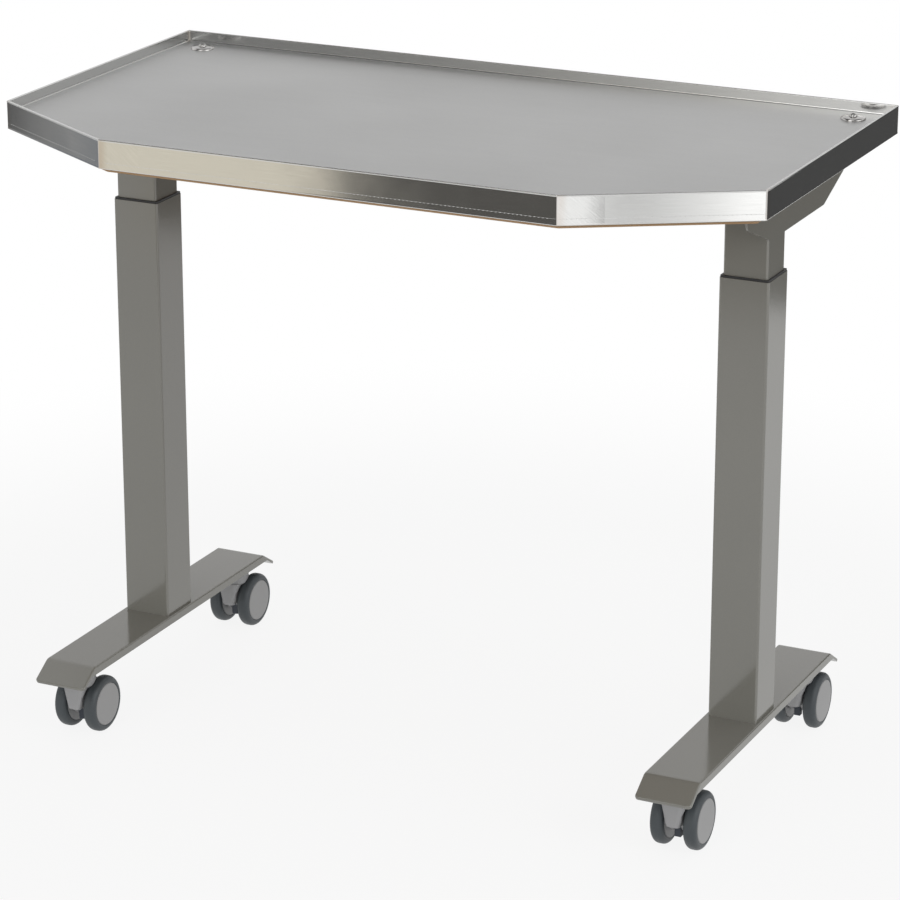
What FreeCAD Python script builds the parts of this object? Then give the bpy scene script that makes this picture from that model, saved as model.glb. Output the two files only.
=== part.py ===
"""Mobile instrument table: a steel tray on two lifting columns, each on a foot with two twin casters.

Millimetres. +Z is up, +X runs along the table, -Y is the front with the two clipped corners.
The origin is on the floor under the middle of the tray.
"""
import FreeCAD, Part
import math
import os
import re
import Sketcher

document = FreeCAD.newDocument("InstrumentTable")
sheet = document.addObject("Spreadsheet::Sheet", "Sizes")

SIZES = {
    # Tray of folded stainless sheet
    "top_length": 1026,
    "top_depth": 590,
    "top_height": 843,
    "corner_cut_x": 209,
    "corner_cut_y": 125,
    "apron_height": 36.5,
    "recess_depth": 13.5,
    "rim_width": 3.4,
    "tray_sheet": 1.5,
    "hem_height": 8,
    "tray_round": 3,
    "rim_round": 0.6,
    "rim_slit_depth": 0.8,
    # Core board under the tray
    "board_thickness": 28,
    "board_gap": 11,
    "board_round": 4,
    # Flanges screwed down in the two back corners
    "flange_diameter": 32,
    "flange_rise": 3.5,
    "flange_edge": 1.2,
    "flange_bevel": 3,
    "flange_inset_x": 46,
    "flange_inset_y": 42,
    "flange_gap": 0.2,
    "flange_screw": 6,
    "flange_screw_length": 18,
    "button_head": 10.5,
    "button_rise": 3.3,
    "hex_key": 4,
    "hex_depth": 2.2,
    "screw_gap": 0.2,
    # Lifting columns of square tube
    "column_inset": 87.5,
    "column_back": 25.5,
    "column_reveal": 115,
    "outer_side": 65,
    "outer_wall": 2.5,
    "outer_round": 3,
    "base_plate": 8,
    "base_clear": 87,
    "inner_side": 57.6,
    "inner_wall": 2.5,
    "inner_round": 2.5,
    "head_plate": 6,
    "slide_gap": 0.1,
    "collar_rise": 2.5,
    "collar_lip": 0.7,
    "collar_skirt": 40,
    "collar_bore_gap": 0.2,
    "glide_foot": 8,
    "glide_plug": 15,
    "glide_hole": 34,
    # Drive inside each column
    "motor_side": 46,
    "motor_length": 95,
    "motor_round": 8,
    "spindle_diameter": 12,
    "spindle_clear": 96,
    "spindle_seat": 10,
    "running_gap": 0.08,
    "post_diameter": 28,
    "post_wall": 3,
    "nut_diameter": 40,
    "nut_length": 40,
    "nut_clear": 56,
    # Angle arm on each column head
    "arm_sheet": 3,
    "arm_flange": 64,
    "arm_drop": 65.5,
    "arm_front": 109.5,
    "arm_rear": 236.5,
    "arm_flat_rear": 156.5,
    "arm_end_drop": 33,
    "arm_end_round": 12,
    "arm_knee_round": 8,
    "arm_bend_round": 4,
    "frame_screw": 6,
    "frame_screw_length": 20,
    "frame_head": 12,
    "frame_head_rise": 4,
    "frame_screw_end": 25,
    "frame_screw_front": 50,
    "frame_screw_rear": 75,
    # Cross rail and drive box under the board
    "rail_depth": 40,
    "rail_height": 20,
    "rail_wall": 2,
    "drive_box_length": 220,
    "drive_box_depth": 84,
    "drive_box_height": 32,
    "drive_box_round": 5,
    "drive_box_gap": 12,
    # Handset under the front
    "handset_length": 96,
    "handset_depth": 52,
    "handset_height": 22,
    "handset_round": 5,
    "handset_offset": 210,
    "handset_front": 175,
    "button_diameter": 14,
    "button_stand": 2.2,
    "button_travel": 1.5,
    "button_body": 5,
    "button_spread": 26,
    # Feet of folded plate
    "foot_top": 105,
    "foot_width": 74,
    "foot_plate": 4,
    "foot_half": 231,
    "foot_side_drop": 11,
    "flap_run": 32,
    "flap_drop": 20,
    "flap_round": 5,
    "foot_bend": 12,
    "foot_edge_round": 2,
    "foot_screw": 8,
    "foot_screw_head": 13,
    "foot_screw_head_rise": 6,
    "foot_screw_spread": 20,
    # Twin-wheel casters
    "caster_inset": 21.3,
    "caster_trail": 17,
    "wheel_radius": 37.5,
    "wheel_gap": 12.4,
    "wheel_width": 18.9,
    "rim_radius": 28.5,
    "tyre_round": 7,
    "tyre_inset": 0.5,
    "cap_round": 1.5,
    "axle_diameter": 8,
    "axle_half": 27,
    "stem_diameter": 11,
    "stem_boss": 22,
    "stem_boss_height": 6,
    "stem_length": 28,
    "hood_gap": 0.5,
    "hood_radius": 21,
    "hood_skirt": 70,
    "hood_waist": 58,
    "tongue_width": 33,
    "tongue_low_width": 19,
    "tongue_bottom": 37,
    "tongue_round": 7,
    "tongue_edge_round": 3,
    "cheek_width": 11.4,
    "cheek_radius": 19,
    "cheek_rear": 30,
    "cheek_shoulder": 66,
    "cheek_top": 76,
    "cheek_top_rear": 15,
    "wheel_clear": 1.5,
    "arch_width": 13,
    "arch_front": 7.5,
    "arch_top": 64,
    "arch_chamfer": 8,
    "pedal_width": 8,
    "pedal_pivot_y": 4,
    "pedal_pivot_z": 55,
    "pedal_pin": 5,
    "pedal_pin_inset": 0.5,
    "pedal_hub": 5,
    "pedal_depth": 8,
    "pedal_thickness": 5,
    "pedal_toe_bend": 17,
    "pedal_toe_front": 3,
    "pedal_toe_length": 38,
    "pedal_reach": 59,
    "pedal_pad_width": 22,
    "pedal_pad_length": 12,
    "pedal_pad_drop": 4,
}

SIDES = {"left": -1, "right": 1}
ENDS = {"front": -1, "rear": 1}
WORD = re.compile(r"[a-z][a-z_]+")

for row, (name, value) in enumerate(SIZES.items(), start=1):
    sheet.set(f"A{row}", name)
    sheet.set(f"B{row}", str(value))
    sheet.setAlias(f"B{row}", name)
document.recompute()


def formula(text):
    """The text with each size in it read from the spreadsheet."""
    return WORD.sub(lambda found: f"Sizes.{found[0]}" if found[0] in SIZES else found[0], str(text))


def bind(thing, **formulas):
    """Ties the named properties of an object to formulas."""
    for name, text in formulas.items():
        thing.setExpression(name, formula(text))


def stand(thing, x=0, y=0, z=0):
    """Puts an object at a place given by formulas."""
    for axis, text in zip("xyz", (x, y, z)):
        thing.setExpression(f".Placement.Base.{axis}", formula(text))


def new_body(label):
    """An empty body for one sub-part."""
    body = document.addObject("PartDesign::Body", label)
    body.Label = label
    return body


def new_sketch(body, plane, height=0):
    """An empty sketch on one of the body's own planes, moved along the plane's normal."""
    sketch = body.newObject("Sketcher::SketchObject", body.Name + "_sketch")
    support = next(part for part in body.Origin.OriginFeatures if part.Role == plane)
    sketch.AttachmentSupport = [(support, "")]
    sketch.MapMode = "FlatFace"
    sketch.setExpression(".AttachmentOffset.Base.z", formula(height))
    return sketch


def fix_value(sketch, *rule):
    """Adds one dimension whose value is the formula at the rule's end."""
    *where, text = rule
    index = sketch.addConstraint(Sketcher.Constraint(*where, 1.0))
    sketch.setExpression(f"Constraints[{index}]", formula(text))


def straight_outline(sketch, corners):
    """Adds a closed outline of straight sides to a sketch, each corner at a pair of formulas."""
    count = len(corners)
    turns = [2 * math.pi * step / count for step in range(count)]
    ring = [FreeCAD.Vector(math.cos(turn), math.sin(turn), 0) for turn in turns]
    first = sketch.GeometryCount
    for step in range(count):
        sketch.addGeometry(Part.LineSegment(ring[step], ring[(step + 1) % count]), False)
    for step in range(count):
        line, after = first + step, first + (step + 1) % count
        sketch.addConstraint(Sketcher.Constraint("Coincident", line, 2, after, 1))
    for step, (across, along) in enumerate(corners):
        fix_value(sketch, "DistanceX", -1, 1, first + step, 1, across)
        fix_value(sketch, "DistanceY", -1, 1, first + step, 1, along)


def polygon(body, plane, *outlines, height=0):
    """A sketch of one or more straight-sided outlines."""
    sketch = new_sketch(body, plane, height)
    for corners in outlines:
        straight_outline(sketch, corners)
    return sketch


def rectangle(x_low, x_high, y_low, y_high):
    """The four corners of a rectangle."""
    return [(x_low, y_low), (x_high, y_low), (x_high, y_high), (x_low, y_high)]


def square(side):
    """The four corners of a square about the axis."""
    return rectangle(f"-({side}) / 2", f"({side}) / 2", f"-({side}) / 2", f"({side}) / 2")


def circles(body, plane, centres, radius, height=0):
    """A sketch of equal circles."""
    sketch = new_sketch(body, plane, height)
    for across, along in centres:
        start = Part.Circle(FreeCAD.Vector(1, 1, 0), FreeCAD.Vector(0, 0, 1), 1)
        index = sketch.addGeometry(start, False)
        fix_value(sketch, "DistanceX", -1, 1, index, 3, across)
        fix_value(sketch, "DistanceY", -1, 1, index, 3, along)
        fix_value(sketch, "Radius", index, radius)
    return sketch


def add_feature(body, kind, sketch, length, both_ways, backwards):
    """A pad or a pocket of a sketch."""
    feature = body.newObject(f"PartDesign::{kind}", f"{body.Name}_{kind.lower()}")
    feature.Profile = sketch
    feature.setExpression("Length", formula(length))
    feature.SideType = "Symmetric" if both_ways else "One side"
    feature.Reversed = backwards
    document.recompute()
    return feature


def pad(body, sketch, length, both_ways=False, backwards=False):
    """Adds material along the sketch's normal."""
    return add_feature(body, "Pad", sketch, length, both_ways, backwards)


def pocket(body, sketch, length, both_ways=False, backwards=False):
    """Takes material away, against the sketch's normal unless it is turned round."""
    before = body.Shape.Volume
    feature = add_feature(body, "Pocket", sketch, length, both_ways, backwards)
    if body.Shape.Volume >= before:
        raise ValueError(f"{feature.Name} cuts nothing")
    return feature


def revolve(body, sketch, axis):
    """Turns a sketch once round one of its own axes."""
    feature = body.newObject("PartDesign::Revolution", f"{body.Name}_turned")
    feature.Profile = sketch
    feature.ReferenceAxis = (sketch, [axis])
    feature.Angle = 360
    document.recompute()
    return feature


def round_edges(body, radius, chosen):
    """Rounds the edges of the body that the given test picks."""
    tip = body.Tip
    edges = tip.Shape.Edges
    names = [f"Edge{index}" for index, edge in enumerate(edges, start=1) if chosen(edge)]
    if not names:
        raise ValueError(f"no edge to round on {body.Name}")
    feature = body.newObject("PartDesign::Fillet", f"{body.Name}_round")
    feature.Base = (tip, names)
    feature.setExpression("Radius", formula(radius))
    document.recompute()
    return feature


def runs_along(edge, axis):
    """Whether an edge is straight and parallel to an axis, 0 to 2 for X to Z."""
    if edge.Curve.TypeId != "Part::GeomLine":
        return False
    return abs(edge.tangentAt(edge.FirstParameter)[axis]) > 0.999


def upright(edge):
    """Whether an edge is straight and parallel to Z."""
    return runs_along(edge, 2)


def primitive(kind, name, place, **formulas):
    """A Part primitive at a place, its sizes bound to formulas."""
    thing = document.addObject(f"Part::{kind}", name)
    bind(thing, **formulas)
    stand(thing, *place)
    return thing


def cylinder(name, place, radius, height):
    """An upright cylinder from its base."""
    return primitive("Cylinder", name, place, Radius=radius, Height=height)


def cone(name, place, low, high, height):
    """An upright cone from its base."""
    return primitive("Cone", name, place, Radius1=low, Radius2=high, Height=height)


def joined(name, parts):
    """Several solids made one."""
    thing = document.addObject("Part::MultiFuse", name)
    thing.Shapes = parts
    return thing


def less(name, whole, tool):
    """One solid cut by another."""
    thing = document.addObject("Part::Cut", name)
    thing.Base = whole
    thing.Tool = tool
    return thing


def group(label, parts):
    """Like pieces kept as separate solids under one name."""
    thing = document.addObject("Part::Compound", label)
    thing.Label = label
    thing.Links = parts
    return thing


surface = "(top_height - recess_depth)"
apron_bottom = "(top_height - apron_height)"
board_top = f"({surface} - tray_sheet)"
board_bottom = f"({board_top} - board_thickness)"
column_head = f"({board_bottom} - arm_sheet)"
column_offset = "(top_length / 2 - column_inset)"
outer_top = f"({column_head} - column_reveal)"
outer_opening = "(outer_side - 2 * outer_wall)"
inner_opening = "(inner_side - 2 * inner_wall)"
base_top = "(foot_top + base_plate)"
inner_bottom = f"({base_top} + base_clear)"
motor_bottom = f"({column_head} - head_plate - motor_length)"
flange_x = "(top_length / 2 - flange_inset_x)"
flange_y = "(top_depth / 2 - flange_inset_y)"
slant = "sqrt(corner_cut_x ^ 2 + corner_cut_y ^ 2)"


def table_outline(inset):
    """The table's outline, a rectangle with both front corners clipped, moved in by an inset."""
    side = f"(top_length / 2 - {inset})"
    back = f"(top_depth / 2 - {inset})"
    cut_x = f"(top_length / 2 - corner_cut_x - {inset} * ({slant} - corner_cut_x) / corner_cut_y)"
    cut_y = f"(-top_depth / 2 + corner_cut_y + {inset} * ({slant} - corner_cut_y) / corner_cut_x)"
    right = [(cut_x, f"-{back}"), (side, cut_y), (side, back)]
    left = [(f"-{x}", y) for x, y in reversed(right)]
    return right + left


def flange_centres():
    """The centres of the two corner flanges."""
    return [(f"{sign} * {flange_x}", flange_y) for sign in SIDES.values()]


def column_axis(sign):
    """Where a column's axis meets the floor."""
    return f"{sign} * {column_offset}", "column_back"


def frame_screw_centres(sign):
    """The screws of one arm, seen from above: one at each end and one each side of the column."""
    across = f"{sign} * ({column_offset} + inner_side / 2 - arm_flange / 2)"
    along = [
        "column_back - arm_front + frame_screw_end",
        "column_back - frame_screw_front",
        "column_back + frame_screw_rear",
        "column_back + arm_rear - frame_screw_end",
    ]
    return [(across, place) for place in along]


def make_top_tray():
    """The tray: one sheet folded up into a double rim and down into a hemmed apron."""
    body = new_body("top_tray")
    pad(body, polygon(body, "XY_Plane", table_outline("0"), height=apron_bottom), "apron_height")
    round_edges(body, "tray_round", upright)
    recess = polygon(body, "XY_Plane", table_outline("rim_width"), height="top_height")
    pocket(body, recess, "recess_depth")
    top = body.Shape.BoundBox.ZMax
    round_edges(body, "rim_round", lambda edge: abs(edge.BoundBox.ZMin - top) < 0.001)
    slit = polygon(
        body,
        "XY_Plane",
        table_outline("tray_sheet"),
        table_outline("(rim_width - tray_sheet)"),
        height="top_height",
    )
    pocket(body, slit, "rim_slit_depth")
    under = polygon(body, "XY_Plane", table_outline("(2 * tray_sheet)"), height=apron_bottom)
    pocket(body, under, f"{board_top} - {apron_bottom}", backwards=True)
    hem_top = f"({apron_bottom} + hem_height)"
    above_hem = polygon(body, "XY_Plane", table_outline("tray_sheet"), height=hem_top)
    pocket(body, above_hem, f"{board_top} - {hem_top}", backwards=True)
    holes = circles(body, "XY_Plane", flange_centres(), "flange_diameter / 2 + flange_gap", surface)
    pocket(body, holes, "tray_sheet")
    return body


def make_core_board():
    """The board that fills the tray from below and takes every screw of the table."""
    body = new_body("core_board")
    inset = "(2 * tray_sheet + board_gap)"
    pad(body, polygon(body, "XY_Plane", table_outline(inset), height=board_bottom), "board_thickness")
    round_edges(body, "board_round", upright)
    screw_radius = "flange_screw / 2 + screw_gap / 2"
    holes = circles(body, "XY_Plane", flange_centres(), screw_radius, board_top)
    pocket(body, holes, "flange_screw_length")
    for sign in SIDES.values():
        radius = "frame_screw / 2 + screw_gap / 2"
        holes = circles(body, "XY_Plane", frame_screw_centres(sign), radius, board_bottom)
        pocket(body, holes, "frame_screw_length - arm_sheet", backwards=True)
    return body


def make_flanges():
    """Two bevelled flanges, and the button-head screw through each."""
    flanges = []
    screws = []
    for side, sign in SIDES.items():
        place = (f"{sign} * {flange_x}", flange_y)
        name = f"flange_{side}"
        base_rise = "(tray_sheet + flange_edge)"
        base = cylinder(f"{name}_base", (*place, board_top), "flange_diameter / 2", base_rise)
        bevel = cone(
            f"{name}_bevel",
            (*place, f"{board_top} + {base_rise}"),
            "flange_diameter / 2",
            "flange_diameter / 2 - flange_bevel",
            "flange_rise - flange_edge",
        )
        hole_radius = "flange_screw / 2 + screw_gap / 2"
        hole = cylinder(f"{name}_hole", (*place, board_top), hole_radius, "tray_sheet + flange_rise")
        flanges.append(less(name, joined(f"{name}_blank", [base, bevel]), hole))

        flange_top = f"({surface} + flange_rise)"
        screw_low = f"({board_top} - flange_screw_length)"
        name = f"flange_screw_{side}"
        shank = cylinder(
            f"{name}_shank", (*place, screw_low), "flange_screw / 2", f"{flange_top} - {screw_low}"
        )
        head = cone(
            f"{name}_head", (*place, flange_top), "button_head / 2", "hex_key", "button_rise"
        )
        socket = primitive(
            "Prism",
            f"{name}_socket",
            (*place, f"{flange_top} + button_rise - hex_depth"),
            Circumradius="hex_key / sqrt(3)",
            Height="hex_depth",
        )
        screws.append(less(name, joined(f"{name}_blank", [shank, head]), socket))
    return [group("corner_flanges", flanges), group("corner_screws", screws)]


def make_foot(side, sign):
    """A foot: plate folded down along both sides, with a bent flap at each end."""
    body = new_body(f"foot_{side}")
    slope = "sqrt(flap_run ^ 2 + flap_drop ^ 2)"
    tip = "(foot_half + flap_run)"
    low_bend = f"(foot_half - foot_plate * ({slope} - flap_run) / flap_drop)"
    low_tip = f"({tip} - foot_plate * flap_drop / {slope})"
    low_tip_height = f"foot_top - flap_drop - foot_plate * flap_run / {slope}"
    rear = [
        (low_bend, "foot_top - foot_plate"),
        (low_tip, low_tip_height),
        (tip, "foot_top - flap_drop"),
        ("foot_half", "foot_top"),
    ]
    front = [(f"-{along}", height) for along, height in reversed(rear)]
    pad(body, polygon(body, "YZ_Plane", rear + front), "foot_width", both_ways=True)
    tip_start = SIZES["foot_half"] + SIZES["flap_run"] / 2
    thick = 1.5 * SIZES["foot_plate"]

    def flap_corner(edge):
        centre = edge.CenterOfMass
        return abs(centre.y) > tip_start and edge.Length < thick

    round_edges(body, "flap_round", flap_corner)

    def top_bend(edge):
        return runs_along(edge, 0) and edge.CenterOfMass.z > SIZES["foot_top"] - 0.001

    round_edges(body, "foot_bend", top_bend)
    # The low edge of a side runs on until it meets the flap's underside.
    flap_thickness = f"foot_plate * {slope} / flap_run"
    side_end = f"(foot_half + (foot_side_drop - {flap_thickness}) * flap_run / flap_drop)"
    side_low = "foot_top - foot_side_drop"
    side_high = "foot_top - foot_plate / 2"
    strip = [
        (f"-{side_end}", side_low),
        (side_end, side_low),
        ("foot_half", side_high),
        ("-foot_half", side_high),
    ]
    for edge in ("foot_width / 2 - foot_plate", "-foot_width / 2"):
        pad(body, polygon(body, "YZ_Plane", strip, height=edge), "foot_plate")

    def long_top_edge(edge):
        level = edge.BoundBox.ZMin > SIZES["foot_top"] - 0.001
        return level and runs_along(edge, 1) and abs(edge.CenterOfMass.x) > SIZES["foot_width"] / 4

    round_edges(body, "foot_edge_round", long_top_edge)
    holes = circles(
        body, "XY_Plane", foot_screw_centres(), "foot_screw / 2 + screw_gap", height="foot_top"
    )
    pocket(body, holes, "foot_plate")
    stand(body, *column_axis(sign))
    return body


def foot_screw_centres():
    """The four screws under one column, about the column's axis."""
    spread = "foot_screw_spread"
    return [(f"{across} * {spread}", f"{along} * {spread}") for across in (-1, 1) for along in (-1, 1)]


def make_foot_screws(side, sign):
    """The screws that go up through a foot into its column."""
    x, y = column_axis(sign)
    screws = []
    for index, (across, along) in enumerate(foot_screw_centres(), start=1):
        name = f"foot_screw_{side}_{index}"
        place = (f"{x} + {across}", f"{y} + {along}")
        plate_low = "(foot_top - foot_plate)"
        head_low = f"{plate_low} - foot_screw_head_rise"
        head = cylinder(
            f"{name}_head", (*place, head_low), "foot_screw_head / 2", "foot_screw_head_rise"
        )
        shank = cylinder(
            f"{name}_shank", (*place, plate_low), "foot_screw / 2", "foot_plate + base_plate"
        )
        screws.append(joined(name, [head, shank]))
    return [group(f"foot_screws_{side}", screws)]


def make_outer_tube(side, sign):
    """The lower tube of a column, with the plate welded in its foot."""
    body = new_body(f"outer_tube_{side}")
    outline = polygon(body, "XY_Plane", square("outer_side"), height="foot_top")
    pad(body, outline, f"{outer_top} - foot_top")
    round_edges(body, "outer_round", upright)
    inside = polygon(body, "XY_Plane", square(outer_opening), height=outer_top)
    pocket(body, inside, f"{outer_top} - {base_top}")
    radius = "foot_screw / 2 + screw_gap / 2"
    holes = circles(body, "XY_Plane", foot_screw_centres(), radius, "foot_top")
    pocket(body, holes, "base_plate", backwards=True)
    stand(body, *column_axis(sign))
    return body


def make_collar(side, sign):
    """The black plastic collar in the mouth of the lower tube."""
    body = new_body(f"collar_{side}")
    rim = "(outer_side - 2 * collar_lip)"
    pad(body, polygon(body, "XY_Plane", square(rim), height=outer_top), "collar_rise")
    round_edges(body, "outer_round - collar_lip", upright)
    skirt = polygon(body, "XY_Plane", square(f"({outer_opening} - 2 * slide_gap)"), height=outer_top)
    pad(body, skirt, "collar_skirt", backwards=True)
    bore_top = f"{outer_top} + collar_rise"
    bore = polygon(body, "XY_Plane", square("(inner_side + 2 * collar_bore_gap)"), height=bore_top)
    pocket(body, bore, "collar_rise + collar_skirt")
    stand(body, *column_axis(sign))
    return body


def make_inner_tube(side, sign):
    """The upper tube of a column, closed by the plate that the motor hangs on."""
    body = new_body(f"inner_tube_{side}")
    length = f"({column_head} - {inner_bottom})"
    pad(body, polygon(body, "XY_Plane", square("inner_side"), height=inner_bottom), length)
    round_edges(body, "inner_round", upright)
    inside = polygon(body, "XY_Plane", square(inner_opening), height=inner_bottom)
    pocket(body, inside, f"{length} - head_plate", backwards=True)
    stand(body, *column_axis(sign))
    return body


def make_lower_glide(side, sign):
    """The glide plugged into the bottom of the upper tube."""
    body = new_body(f"lower_glide_{side}")
    foot_low = f"({inner_bottom} - glide_foot)"
    wide = square(f"({outer_opening} - 2 * slide_gap)")
    pad(body, polygon(body, "XY_Plane", wide, height=foot_low), "glide_foot")
    plug = polygon(body, "XY_Plane", square(f"({inner_opening} - screw_gap)"), height=inner_bottom)
    pad(body, plug, "glide_plug")
    hole = circles(body, "XY_Plane", [(0, 0)], "glide_hole / 2", foot_low)
    pocket(body, hole, "glide_foot + glide_plug", backwards=True)
    stand(body, *column_axis(sign))
    return body


def make_motor(side, sign):
    """The gear motor hung in the head of a column, bored for the spindle."""
    body = new_body(f"motor_{side}")
    pad(body, polygon(body, "XY_Plane", square("motor_side"), height=motor_bottom), "motor_length")
    round_edges(body, "motor_round", upright)
    radius = "spindle_diameter / 2 + running_gap"
    seat = circles(body, "XY_Plane", [(0, 0)], radius, motor_bottom)
    pocket(body, seat, "spindle_seat", backwards=True)
    stand(body, *column_axis(sign))
    return body


def make_spindle(side, sign):
    """The lifting screw that hangs from the motor through the nut."""
    low = f"({base_top} + spindle_clear)"
    length = f"{motor_bottom} + spindle_seat - running_gap - {low}"
    return cylinder(f"spindle_{side}", (*column_axis(sign), low), "spindle_diameter / 2", length)


def make_nut_post(side, sign):
    """The push tube that stands on the base plate, with the drive nut on its top."""
    place = column_axis(sign)
    name = f"nut_post_{side}"
    nut_low = f"({motor_bottom} - nut_clear - nut_length)"
    length = f"{nut_low} - {base_top}"
    post = cylinder(f"{name}_tube", (*place, base_top), "post_diameter / 2", length)
    nut = cylinder(f"{name}_nut", (*place, nut_low), "nut_diameter / 2", "nut_length")
    hollow = cylinder(
        f"{name}_hollow", (*place, base_top), "post_diameter / 2 - post_wall", length
    )
    bore = cylinder(
        f"{name}_bore", (*place, nut_low), "spindle_diameter / 2 + running_gap", "nut_length"
    )
    blank = joined(f"{name}_blank", [post, nut])
    return less(name, blank, joined(f"{name}_inside", [hollow, bore]))


def make_arm(side, sign):
    """The angle arm: a web on the column's outer face and a flange under the board."""
    body = new_body(f"arm_{side}")
    top = board_bottom
    front = "-arm_front"
    rear = "arm_rear"
    end_low = f"{top} - arm_end_drop"
    bottom = f"{top} - arm_drop"
    web = [
        (front, top),
        (front, end_low),
        ("-inner_side / 2", bottom),
        ("arm_flat_rear", bottom),
        (rear, end_low),
        (rear, top),
    ]
    face = f"{sign} * inner_side / 2"
    pad(body, polygon(body, "YZ_Plane", web, height=face), "arm_sheet", backwards=sign < 0)
    lowest = body.Shape.BoundBox.ZMin
    highest = body.Shape.BoundBox.ZMax
    ends = (body.Shape.BoundBox.YMin, body.Shape.BoundBox.YMax)

    def end_corner(edge):
        if not runs_along(edge, 0) or edge.CenterOfMass.z > highest - 0.001:
            return False
        return min(abs(edge.CenterOfMass.y - end) for end in ends) < 0.001

    round_edges(body, "arm_end_round", end_corner)

    def knee(edge):
        return runs_along(edge, 0) and edge.CenterOfMass.z < lowest + 0.001

    round_edges(body, "arm_knee_round", knee)
    outer = f"{sign} * (inner_side / 2 + arm_sheet)"
    inner = f"{sign} * (inner_side / 2 - arm_flange)"
    low, high = (inner, outer) if sign > 0 else (outer, inner)
    flange = rectangle(low, high, front, rear)
    pad(body, polygon(body, "XY_Plane", flange, height=column_head), "arm_sheet")

    def outer_fold(edge):
        out = sign * edge.CenterOfMass.x > SIZES["inner_side"] / 2 + 0.9 * SIZES["arm_sheet"]
        return out and runs_along(edge, 1) and edge.CenterOfMass.z > highest - 0.001

    round_edges(body, "arm_bend_round", outer_fold)
    x, y = column_axis(sign)
    centres = [(f"{across} - {x}", f"{along} - {y}") for across, along in frame_screw_centres(sign)]
    holes = circles(body, "XY_Plane", centres, "frame_screw / 2 + screw_gap", board_bottom)
    pocket(body, holes, "arm_sheet")
    stand(body, x, y)
    return body


def make_frame_screws():
    """The screws that hold both arms to the board from below."""
    screws = []
    for side, sign in SIDES.items():
        for index, place in enumerate(frame_screw_centres(sign), start=1):
            name = f"frame_screw_{side}_{index}"
            head_low = f"{column_head} - frame_head_rise"
            head = cylinder(f"{name}_head", (*place, head_low), "frame_head / 2", "frame_head_rise")
            shank = cylinder(
                f"{name}_shank", (*place, column_head), "frame_screw / 2", "frame_screw_length"
            )
            screws.append(joined(name, [head, shank]))
    return [group("frame_screws", screws)]


def make_cross_rail():
    """The rectangular tube between the two column heads."""
    body = new_body("cross_rail")
    top = column_head
    low = f"({top} - rail_height)"
    half = "rail_depth / 2"
    outline = rectangle(f"-({half})", half, low, top)
    inner_half = "(rail_depth / 2 - rail_wall)"
    hollow = rectangle(f"-{inner_half}", inner_half, f"{low} + rail_wall", f"{top} - rail_wall")
    length = f"2 * {column_offset} - inner_side"
    pad(body, polygon(body, "YZ_Plane", outline, hollow), length, both_ways=True)
    stand(body, 0, "column_back")
    return body


def make_control_box():
    """The box of the column drives, with their battery, screwed under the board behind the rail."""
    body = new_body("control_box")
    front = "(column_back + rail_depth / 2 + drive_box_gap)"
    outline = rectangle(
        "-drive_box_length / 2", "drive_box_length / 2", front, f"{front} + drive_box_depth"
    )
    low = f"{board_bottom} - drive_box_height"
    pad(body, polygon(body, "XY_Plane", outline, height=low), "drive_box_height")
    round_edges(body, "drive_box_round", upright)
    return body


def make_handset():
    """The handset under the board near the front, and its up and down buttons."""
    body = new_body("handset")
    face = "-handset_front"
    half = "handset_length / 2"
    outline = rectangle(f"-{half}", half, face, f"{face} + handset_depth")
    low = f"({board_bottom} - handset_height)"
    pad(body, polygon(body, "XY_Plane", outline, height=low), "handset_height")
    round_edges(body, "handset_round", upright)
    level = f"({board_bottom} - handset_height / 2)"
    centres = [(f"{sign} * button_spread / 2", level) for sign in (-1, 1)]
    depth = "(button_body + button_travel)"
    wells = circles(body, "XZ_Plane", centres, "button_diameter / 2 + running_gap", "handset_front")
    pocket(body, wells, depth)
    stand(body, "handset_offset")
    made = [body]
    for name, sign in (("down_button", -1), ("up_button", 1)):
        button = new_body(name)
        disc = circles(button, "XZ_Plane", [(0, level)], "button_diameter / 2", "handset_front")
        pad(button, disc, "button_stand")
        stem = circles(button, "XZ_Plane", [(0, level)], "button_diameter / 2", "handset_front")
        pad(button, stem, "button_body", backwards=True)
        stand(button, f"handset_offset + {sign} * button_spread / 2")
        made.append(button)
    return made


def caster_axis(sign, end):
    """Where a caster's swivel axis meets the floor."""
    x, y = column_axis(sign)
    return x, f"{y} + {end} * (foot_half - caster_inset)"


hood_top = "(foot_top - foot_plate - stem_boss_height - hood_gap)"


def make_caster_stems(side, sign):
    """The swivel pins of one foot, each with the boss welded under the plate."""
    stems = []
    for end_name, end in ENDS.items():
        name = f"stem_{end_name}_{side}"
        place = caster_axis(sign, end)
        boss_low = "(foot_top - foot_plate - stem_boss_height)"
        boss = cylinder(f"{name}_boss", (*place, boss_low), "stem_boss / 2", "stem_boss_height")
        pin = cylinder(
            f"{name}_pin", (*place, f"{boss_low} - stem_length"), "stem_diameter / 2", "stem_length"
        )
        stems.append(joined(name, [boss, pin]))
    return [group(f"caster_stems_{side}", stems)]


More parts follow.
